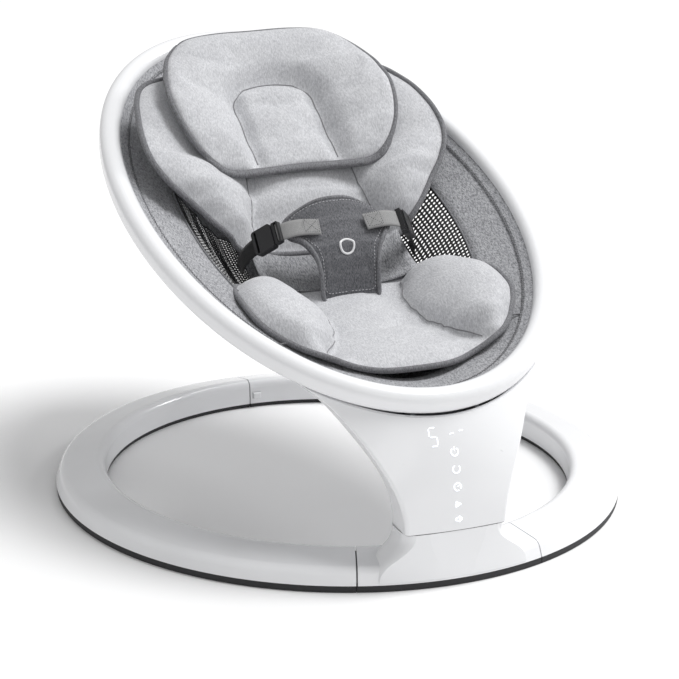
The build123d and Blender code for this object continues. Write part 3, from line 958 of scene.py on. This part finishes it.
@dataclass
class Ribbon:
    """A strap: a strip of even width that follows a line."""

    name: str
    points: Sequence[Point]
    across: Point
    width: float
    thick: float = 1.6 * MM
    steps: int = 8

    def frames(self, side: Side) -> list[tuple[Vector, Vector, Vector]]:
        """Centre, sideways and outward directions along the strap."""
        mirror = Vector((side.value, 1.0, 1.0))
        line = smooth_line([Vector(p) * MM * 1.0 for p in self.points], self.steps)
        out = []
        for i, point in enumerate(line):
            along = (line[min(i + 1, len(line) - 1)] - line[max(i - 1, 0)]).normalized()
            wide = Vector(self.across)
            wide = (wide - along * wide.dot(along)).normalized()
            face = along.cross(wide)
            out.append((point * mirror, wide * mirror, face * mirror))
        return out

    def mesh(self, side: Side) -> bmesh.types.BMesh:
        """The strap as a mesh with a UV map in metres along and across."""
        frames = self.frames(side)
        bm = bmesh.new()
        columns = 6
        bmesh.ops.create_grid(bm, x_segments=len(frames) - 1, y_segments=columns, size=1.0,
                              calc_uvs=True)
        rows = sorted(bm.verts, key=lambda v: (round(v.co.x, 5), v.co.y))
        uv = bm.loops.layers.uv.verify()
        length = 0.0
        where: dict[bmesh.types.BMVert, tuple[float, float]] = {}
        for i, (centre, wide, _) in enumerate(frames):
            if i:
                length += (centre - frames[i - 1][0]).length
            for k in range(columns + 1):
                vert = rows[i * (columns + 1) + k]
                offset = self.width * (k / columns - 0.5)
                vert.co = centre + wide * offset
                where[vert] = (length, offset)
        for face in bm.faces:
            for loop in face.loops:
                loop[uv].uv = where[loop.vert]
        bmesh.ops.solidify(bm, geom=bm.faces[:], thickness=self.thick)
        for vert in bm.verts:
            vert.co -= frames[0][2] * self.thick * 0.5
        return bm

    def build(self, side: Side, material: bpy.types.Material) -> bpy.types.Object:
        """Make one side's strap."""
        return finish_mesh(f"{self.name}_{side.name.lower()}", self.mesh(side), [material])


@dataclass
class Harness:
    """The sewn tabs, turned round the plugs of the buckles they end in, and the waist straps behind
    them.
    """

    web_width: float = 20 * MM
    wide: Point = (0.0, 0.9, 0.44)
    tab: Sequence[Point] = ((28, -72, 15), (42, -71.5, 16.5), (55, -70.5, 16.2), (66, -68.5, 13),
                            (76, -65.5, 7.5))
    sewn_end: float = 56.0
    strap: Sequence[Point] = ((92, -55, -12), (98, -51, -19.5), (104, -47.5, -30), (108, -45, -42),
                              (109, -43, -54))
    patch: tuple[float, float] = (20 * MM, 17 * MM)

    def stitched_patch(self, side: Side, finish: Finishes) -> bpy.types.Object:
        """The stitches that hold a tab to the pad: a box with a cross in it."""
        ribbon = Ribbon("tab", self.tab, self.wide, self.web_width)
        frames = ribbon.frames(side)
        length, height = self.patch

        def spot(along: float, across: float) -> Vector:
            run = 0.0
            for (a, wide, face), (b, _, _) in zip(frames, frames[1:]):
                step = (b - a).length
                if run + step >= along:
                    return a.lerp(b,
                                  (along - run) / step) + wide * across + Vector((0, -0.35,
                                          0.9)) * 1.1 * MM
                run += step
            return frames[-1][0]

        edge = 2 * MM
        box = [(edge, -height / 2), (edge, height / 2), (length, height / 2), (length, -height / 2),
               (edge, -height / 2)]
        lines = [box]
        lines += [[box[0], box[2]], [box[1], box[3]]]
        bm = bmesh.new()
        for line in lines:
            path = [spot(*p) for p in line]
            stitch_row(bm, path, lambda p: Vector((0.0, -0.35, 0.93)), 2.6 * MM, 0.4 * MM)
        return finish_mesh(f"tab_stitches_{side.name.lower()}", bm, [finish.thread_dark])

    def bar(self, side: Side, finish: Finishes) -> bpy.types.Object:
        """The webbing turned round the plug's bar."""
        ribbon = Ribbon("tab", self.tab, self.wide, self.web_width)
        end, wide, _ = ribbon.frames(side)[-1]
        bm = bmesh.new()
        line = [end - wide * self.web_width / 2, end, end + wide * self.web_width / 2]
        cord_tube(bm, line, 2.5 * MM, sides=14)
        return finish_mesh(f"tab_turn_{side.name.lower()}", bm, [finish.web_grey])

    def build(self, finish: Finishes) -> list[bpy.types.Object]:
        """Make both sides."""
        parts = []
        for side in Side:
            label = side.name.lower()
            plug = f"buckle_plug_{label}"
            tab = Ribbon("tab_webbing", self.tab, self.wide, self.web_width).build(side,
                    finish.web_grey)
            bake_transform(tab)
            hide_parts(f"harness_tab_{label}")
            turn = self.bar(side, finish)
            settle(turn, plug)
            stitches = self.stitched_patch(side, finish)
            settle(stitches, ARM)
            strap = Ribbon("waist_webbing", self.strap, self.wide, self.web_width).build(side,
                    finish.web_black)
            settle(strap, ARM)
            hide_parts(f"waist_strap_{label}")
            parts += [tab, turn, stitches, strap]
        return parts


# ------------------------------------------------------------------ sling
class SlingPart(Enum):
    """Which faces of the sling's surface a piece keeps."""

    CLOTH = "cloth"
    NET = "net"
    HEM = "hem"


@dataclass
class Sling:
    """The fitted fabric seat inside the hoop, with open net at the hips."""

    turns: int = 160
    start: float = 11.5 * MM
    rim_steps: Sequence[float] = (0, 4, 9, 14, 20, 27, 34, 42, 50, 58)
    inner_steps: int = 16
    net_turns: tuple[float, float] = (1.32, 2.02)
    net_rows: tuple[int, int] = (9, 17)
    floor_length: float = 200 * MM
    hem_width: float = 13 * MM
    profile: Stops = (
        (0, 1), (5, -3), (20, -9), (40, -17), (58, -25), (80, -46), (100, -70), (120, -86),
        (145, -94), (200, -97))

    def height(self, inward: float) -> float:
        """Height of the cloth at a distance in from the hoop."""
        return table(inward / MM, self.profile) * MM

    def point(self, turn: float, ring: int) -> Vector:
        """A point of the cloth in the seat frame."""
        last = len(self.rim_steps) - 1
        if ring <= last:
            inward = self.rim_steps[ring] * MM
            place = SEAT.rim(turn, self.start + inward, 0.0)
            return Vector((place.x, place.y, place.z + self.height(inward)))
        share = (ring - last) / self.inner_steps
        outer = SEAT.rim(turn, self.start + self.rim_steps[-1] * MM, 0.0)
        core = Vector((0.0, self.floor_length * math.cos(turn) - 10 * MM, 0.0))
        place = outer.lerp(core, share)
        inward = self.rim_steps[-1] * MM + (outer - core).length * share
        return Vector((place.x, place.y, outer.z * (1 - share) + self.height(inward)))

    def spread(self, turn: float, ring: float) -> tuple[float, float]:
        """The cloth laid flat: metres round the seat and in from the hoop."""
        last = len(self.rim_steps) - 1
        reach = self.rim_steps[min(round(ring), last)] * MM + max(ring - last, 0) * 12.5 * MM
        return 0.26 * turn, reach

    def is_net(self, turn: float, ring: float) -> bool:
        """True inside the two net windows."""
        low, high = self.net_turns
        round_turn = min(turn, math.tau - turn)
        return low < round_turn < high and self.net_rows[0] <= ring < self.net_rows[1]

    def mesh(self, part: SlingPart) -> bmesh.types.BMesh:
        """The surface of one part with a UV map in metres."""
        rings = 4 if part is SlingPart.HEM else len(self.rim_steps) + self.inner_steps
        bm = bmesh.new()
        bmesh.ops.create_grid(bm, x_segments=self.turns, y_segments=rings - 1, size=1.0,
                              calc_uvs=True)
        uv = bm.loops.layers.uv.verify()
        where: dict[bmesh.types.BMVert, tuple[float, float]] = {}
        for vert in bm.verts:
            turn = (vert.co.x + 1) / 2 * math.tau
            ring = round((vert.co.y + 1) / 2 * (rings - 1))
            where[vert] = (turn, ring)
        extra = []
        for face in bm.faces:
            turn = sum(where[v][0] for v in face.verts) / 4
            ring = min(where[v][1] for v in face.verts)
            for loop in face.loops:
                loop[uv].uv = self.spread(*where[loop.vert])
            if part is not SlingPart.HEM and self.is_net(turn, ring) != (part is SlingPart.NET):
                extra.append(face)
        for vert, (turn, ring) in where.items():
            if part is SlingPart.HEM:
                inward = self.hem_width * ring / (rings - 1)
                place = SEAT.rim(turn, self.start + inward - 0.5 * MM, 0.0)
                vert.co = (place.x, place.y, place.z + self.height(inward) + 1.1 * MM)
            else:
                vert.co = self.point(turn, ring)
        bmesh.ops.delete(bm, geom=extra, context="FACES")
        return bm

    def build(self, finish: Finishes) -> list[bpy.types.Object]:
        """Make the cloth, the net, the hem and their stitching."""
        parts = []
        cloths = ((SlingPart.CLOTH, "sling_cloth_shell", finish.sling, "sling_fabric"),
                  (SlingPart.NET, "hip_net", finish.net, "mesh_fabric"),
                  (SlingPart.HEM, "sling_hem_band", finish.sling, "sling_fabric"))
        for part, name, material, slot in cloths:
            bm = self.mesh(part)
            bmesh.ops.remove_doubles(bm, verts=bm.verts, dist=0.00002)
            area = sum(f.calc_area() for f in bm.faces)
            LOG.info("%s: %.4f square metres", name, area)
            piece = finish_mesh(name, bm, [material])
            thick = piece.modifiers.new("Cloth", "SOLIDIFY")
            thick.thickness = 0.9 * MM if part is SlingPart.NET else 1.4 * MM
            thick.offset = 0.0
            settle(piece, ARM)
            parts.append(piece)
        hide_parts("seat_sling")
        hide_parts("mesh_panel_left", "mesh_panel_right")
        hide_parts("sling_hem")
        bm = bmesh.new()
        for inward in (10.5 * MM, 12.3 * MM):
            line = []
            for k in range(240):
                place = SEAT.rim(math.tau * k / 240, self.start + inward, 0.0)
                line.append(Vector((place.x, place.y, place.z + self.height(inward) + 1.9 * MM)))
            stitch_row(bm, line, lambda p: Vector((0.0, 0.0, 1.0)), 4.4 * MM, 0.4 * MM, True)
        rows = finish_mesh("sling_hem_stitches", bm, [finish.thread_dark])
        settle(rows, ARM)
        bm = bmesh.new()
        low, high = self.net_turns
        for side in Side:
            edge = [self.point(side.value * (low + (high - low) * k / 24) % math.tau,
                               self.net_rows[0])
                    for k in range(25)]
            cord_tube(bm, [p + Vector((0, 0, 1.0 * MM)) for p in edge], 1.3 * MM)
            slit = [Vector((side.value * x * MM, -257 * MM, -4.5 * MM)) for x in (133, 138, 143,
                    148)]
            cord_tube(bm, slit, 0.9 * MM)
        trim = finish_mesh("sling_trim", bm, [finish.binding])
        settle(trim, ARM)
        return parts + [rows, trim]


@dataclass
class HingeCloth:
    """The plain cloth that joins the back insert to the seat insert behind the crotch pad."""

    half_width: float = 96 * MM
    rear: tuple[float, float] = (-26 * MM, -50 * MM)
    front: tuple[float, float] = (-96 * MM, -59 * MM)
    sag: float = 5 * MM
    rise: float = 16 * MM

    def build(self, finish: Finishes) -> list[bpy.types.Object]:
        """Make the joining cloth."""
        bm = bmesh.new()
        bmesh.ops.create_grid(bm, x_segments=24, y_segments=10, size=1.0)
        for vert in bm.verts:
            u, t = vert.co.x, (vert.co.y + 1) / 2
            height = mix(self.front[1], self.rear[1], t) - self.sag * math.sin(math.pi * t)
            vert.co = (u * self.half_width * mix(1.0, 0.98, t), mix(self.front[0], self.rear[0], t),
                       height + self.rise * abs(u) ** 3)
        area = sum(f.calc_area() for f in bm.faces)
        LOG.info("insert_hinge_cloth: %.4f square metres", area)
        piece = finish_mesh("insert_hinge_cloth", bm, [finish.sling])
        thick = piece.modifiers.new("Cloth", "SOLIDIFY")
        thick.thickness = 1.4 * MM
        thick.offset = 0.0
        settle(piece, ARM)
        return [piece]


@dataclass
class FootShadowStrip:
    """A black strip under the pedestal's foot: painted shadow for the shaded gap seen as the line above
    the base.
    """

    inset: float = 0.988
    thick: float = 0.5 * MM
    reach: float = 0.4 * MM

    def build(self, finish: Finishes) -> list[bpy.types.Object]:
        """Make the painted shadow strip from the shells' own lower edge."""
        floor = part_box("pedestal_front_shell")[0][2]
        bm = bmesh.new()
        for name in ("pedestal_front_shell", "pedestal_rear_shell"):
            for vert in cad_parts[name].data.vertices:
                if vert.co.z < floor + self.reach:
                    for drop in (0.1 * MM, 0.1 * MM + self.thick):
                        bmesh.ops.create_vert(bm, co=(vert.co.x, vert.co.y, floor - drop))
        bmesh.ops.remove_doubles(bm, verts=bm.verts, dist=0.0002)
        hull = bmesh.ops.convex_hull(bm, input=bm.verts)
        spare = {g for g in hull["geom_interior"] + hull["geom_unused"] if isinstance(g,
                bmesh.types.BMVert)}
        bmesh.ops.delete(bm, geom=list(spare), context="VERTS")
        middle = sum((v.co for v in bm.verts), Vector()) / len(bm.verts)
        bmesh.ops.scale(bm, vec=(self.inset, self.inset, 1.0), verts=bm.verts,
                        space=Matrix.Translation(-middle))
        # The black rubber finish here is painted shadow in the gap between pedestal and base.
        piece = finish_mesh("pedestal_foot_painted_shadow", bm, [finish.rubber], seat_frame=False)
        for polygon in piece.data.polygons:
            polygon.use_smooth = False
        settle(piece, ARM)
        return [piece]


# ------------------------------------------------------------------ icons
@dataclass
class Icons:
    """The lit touch icons and digits on the front of the pedestal."""

    depth: float = 0.25 * MM
    line: float = 0.38 * MM
    column: Sequence[tuple[str, float]] = (("power", 149), ("turn", 131), ("timer", 112),
                                           ("play", 93), ("sound", 76))

    def strokes(self, kind: str) -> list[list[tuple[float, float]]]:
        """An icon's strokes in millimetres about its middle."""
        def arc(start: float, end: float, radius: float) -> list[tuple[float, float]]:
            return [(radius * math.cos(math.radians(start + (end - start) * k / 14)),
                     radius * math.sin(math.radians(start + (end - start) * k / 14))) for k in range(15)]
        shapes = {
            "power": [arc(130, 410, 4.2), [(0, 1.5), (0, 5.2)]],
            "turn": [arc(150, 400, 4.2), [(-3.6, 2.1), (-1.6, 3.6)]],
            "timer": [arc(-30, 290, 4.2), [(0, 0), (1.9, 1.5)]],
            "play": [[(-2.6, -3), (-2.6, 3), (3.2, 0), (-2.6, -3), (-2.6, 0), (2.4, 0)]],
            "sound": [[(-3, -1.4), (-3, 1.4), (-1, 1.4), (1.6, 3.4), (1.6, -3.4), (-1, -1.4),
                       (-3, -1.4)],
                      [(3.4, -1.8), (4.1, 0), (3.4, 1.8)]],
            "five": [[(-3.2, 9.3), (2.4, 9.3)], [(-4.2, 8.2), (-4.2, 1.2)], [(-3.0, 0), (3.0, 0)],
                     [(4.2, -1.2), (4.2, -8.2)], [(-2.4, -9.3), (3.2, -9.3)]],
            "dashes": [[(-7, -0.6), (-2.4, 0)], [(4.6, 1.2), (8.8, 1.6)]],
        }
        return shapes[kind]

    def build(self, finish: Finishes) -> list[bpy.types.Object]:
        """Lay every icon on the shell's own surface."""
        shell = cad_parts["pedestal_front_shell"]
        graph = bpy.context.evaluated_depsgraph_get()
        bm = bmesh.new()
        spots = [(kind, 0.0, z) for kind, z in self.column] + [("five", -22.0, 166.0),
                ("dashes", 4.0, 168.0)]
        for kind, x, z in spots:
            for stroke in self.strokes(kind):
                line = []
                for u, v in stroke:
                    start = Vector(((x + u) * MM, -0.5, (z + v) * MM))
                    hit, place, normal, _ = shell.ray_cast(start, Vector((0, 1, 0)),
                                                           depsgraph=graph)
                    if hit:
                        line.append(place + normal * self.depth * 0.4)
                if len(line) > 1:
                    cord_tube(bm, line, self.line, sides=8, squash=1.0)
        piece = finish_mesh("touch_icons", bm, [finish.glow], seat_frame=False)
        settle(piece, ARM)
        return [piece]


# ------------------------------------------------------------------ hard parts
SLOT_FINISH = {
    "white_gloss": "white", "rubber_black": "rubber", "inner_plastic": "inner", "steel": "steel",
    "magnet": "magnet", "copper": "copper", "circuit_board": "board", "connector_black": "black",
    "light_guide": "inner", "sling_fabric": "sling", "mesh_fabric": "net", "pad_fabric": "pad",
    "harness_fabric": "harness", "webbing_grey": "web_grey", "webbing_black": "web_black",
}


def dress_hard_parts(finish: Finishes) -> None:
    """Give each moulded or metal part the finish of its material slot."""
    for name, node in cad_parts.items():
        slot = node.data.materials[0].name.split(".")[0] if node.data.materials else "white_gloss"
        material = getattr(finish, SLOT_FINISH.get(slot, "white"))
        LOG.info("%s: %s", name, slot)
        node.data.materials.clear()
        node.data.materials.append(material)


# ------------------------------------------------------------------ studio
@dataclass
class Studio:
    """A pale floor, a white surround and soft lights."""

    surround: float = 0.52
    sun_from: Point = (0.5, -0.05, 1.0)
    sun_strength: float = 2.35
    sun_spread: float = math.radians(24.0)
    lights: Sequence[tuple[str, Point, float, float]] = (
        ("rim", (2.0, 0.4, 1.6), 0.6, 16.0),
        ("fill", (-0.6, -3.0, 1.2), 1.6, 5.0),
    )

    def build(self) -> None:
        """Make the floor, the lights and the camera."""
        bm = bmesh.new()
        bmesh.ops.create_grid(bm, x_segments=2, y_segments=2, size=6.0)
        sheet = NodeSheet("floor_white", (0.9, 0.9, 0.9), 0.6)
        place = sheet.add("ShaderNodeTexCoord").outputs["Object"]
        cloud = sheet.add("ShaderNodeTexNoise", Vector=place, Scale=3.0)
        sheet.join(sheet.ramp(cloud.outputs["Fac"], (0.885, 0.885, 0.89), (0.9, 0.9, 0.9)),
                   "Base Color")
        floor = finish_mesh("floor", bm, [sheet.material], seat_frame=False)
        world = bpy.data.worlds.new("studio")
        world.use_nodes = True
        background = world.node_tree.nodes["Background"]
        background.inputs["Color"].default_value = (1.0, 1.0, 1.0, 1.0)
        background.inputs["Strength"].default_value = self.surround
        bpy.context.scene.world = world
        bpy.context.scene.view_settings.view_transform = "Standard"
        bpy.context.scene.view_settings.look = "None"
        target = Vector((0.0, 0.3, 0.3))
        for name, place, size, power in self.lights:
            light = bpy.data.lights.new(name, "AREA")
            light.shape = "DISK"
            light.size = size
            light.energy = power
            lamp = bpy.data.objects.new(name, light)
            lamp.location = place
            lamp.rotation_euler = (Vector(place) - target).to_track_quat("Z", "Y").to_euler()
            bpy.context.scene.collection.objects.link(lamp)
        sun = bpy.data.lights.new("sun", "SUN")
        sun.energy = self.sun_strength
        sun.angle = self.sun_spread
        star = bpy.data.objects.new("sun", sun)
        star.rotation_euler = Vector(self.sun_from).to_track_quat("Z", "Y").to_euler()
        bpy.context.scene.collection.objects.link(star)
        lens = bpy.data.cameras.new("camera")
        lens.sensor_width = 36.0
        lens.lens = 158.6
        camera = bpy.data.objects.new("camera", lens)
        camera.location = (-1.266, -2.767, 1.246)
        camera.rotation_euler = (math.radians(72.2), 0.0, math.radians(-22.4))
        bpy.context.scene.collection.objects.link(camera)
        bpy.context.scene.camera = camera


# ------------------------------------------------------------------ assembly
BACK_OUTLINE = Outline((
    (0, -30, -52), (50, -30, -50), (88, -29, -44), (106, -22, -37), (115, -18, -23),
    (133, -2.5, -10),
    (151, 18.5, 3), (169, 38, 16), (182, 60, 28), (187, 85, 37), (185, 117, 44), (178, 151, 47),
    (170, 178, 46),
    (159, 202, 45), (144, 216, 45), (118, 224, 45), (80, 238, 45), (40, 244, 44), (0, 246, 44)),
    (0, 80))
SEAT_OUTLINE = Outline((
    (0, -318, -14), (40, -313, -16), (69, -302, -15), (98, -292, -5.5), (119, -276, -4),
    (136, -252, -5),
    (150, -226, -4), (157, -203, -2.5), (157, -166, -7), (151, -136, -18), (140, -110, -29),
    (110, -96, -46),
    (60, -90, -60), (0, -90, -62)), (0, -200))
PILLOW_OUTLINE = Outline((
    (0, 64, 8.5), (50, 62, 8.5), (88, 61, 11), (108, 67, 22), (125, 86, 36), (136, 113, 52),
    (140, 145, 64),
    (137, 170, 68), (132, 190, 70), (117, 226, 71), (90, 252, 75), (50, 261, 76), (0, 263, 75)),
    (0, 150))
CROTCH_OUTLINE = Outline((
    (0, -126, -58), (18, -126, -58), (33, -125, -54), (35, -116, -38), (36, -108, -22),
    (40, -95, -8),
    (51, -81, 3), (61, -66, 1), (62, -49, -1), (57, -38, 2), (44, -34, 10), (22, -33, 22),
    (0, -34, 26)), (0, -75))


BACK_INSERT = Insert(
    name="back_insert", outline=BACK_OUTLINE,
    middle_height=((-75, -62), (-30, -52), (0, -38), (40, -17), (70, -4), (100, -8), (150, 3),
                   (200, 20), (250, 40)),
    seam_half=((-40, 86), (-25, 84), (0, 78), (40, 70), (70, 67), (250, 62)),
    edge_half=((-50, 88), (-22, 106), (-3, 133), (18, 151), (38, 169), (60, 182), (85, 187),
               (117, 185),
               (151, 178), (202, 159), (216, 144), (236, 90)),
    edge_height=((-72, -60), (-45, -46), (-22, -38), (-18, -23), (-3, -10), (18, 3), (38, 16),
                 (60, 28),
                 (85, 37), (117, 44), (151, 47), (202, 45), (250, 44)),
    puff=((-50, 14), (-22, 22), (8, 29), (35, 26), (58, 15), (85, 8), (110, 9), (150, 13),
          (200, 13), (250, 6)),
    seam_run=range(-50, 236, 6), stands_for=("back_pad", "back_bolster_left", "back_bolster_right"),
    full_reach=60, steepness=0.48, least_reach=8, bulge=7 * MM, bulge_width=22, bulge_power=8,
    hold_power=12)
SEAT_INSERT = Insert(
    name="seat_insert", outline=SEAT_OUTLINE,
    middle_height=((-318, -13), (-285, -19), (-250, -29), (-200, -41), (-125, -57), (-75, -61)),
    seam_half=((-300, 112), (-273, 92), (-230, 67), (-203, 56), (-174, 53), (-144, 57), (-109, 68),
               (-92, 80)),
    edge_half=((-302, 69), (-297, 98), (-276, 119), (-252, 136), (-226, 150), (-203, 157),
               (-166, 157),
               (-110, 140), (-96, 118)),
    edge_height=((-318, -14), (-302, -15), (-297, -6), (-276, -4), (-252, -5), (-203, -3),
                 (-166, -7),
                 (-110, -29), (-90, -50)),
    puff=((0, 29),), seam_run=range(-276, -96, 5),
    stands_for=("seat_pad", "thigh_bolster_left", "thigh_bolster_right"),
    full_reach=55, steepness=0.45, least_reach=0, bulge=5 * MM, bulge_width=18, bulge_power=6,
    hold_power=14)


def main() -> None:
    """Build every soft piece, dress the hard ones and set up the studio."""
    logging.basicConfig(level=logging.INFO, format="%(message)s")
    finish = Finishes()
    dress_hard_parts(finish)
    builders = (Sling(), BACK_INSERT, SEAT_INSERT, Pillow(PILLOW_OUTLINE), HingeCloth(),
                CrotchPad(CROTCH_OUTLINE), Harness(), FootShadowStrip(), Icons())
    for builder in builders:
        builder.build(finish)
    Studio().build()
    bpy.context.view_layer.update()


if __name__ == "__main__":
    main()
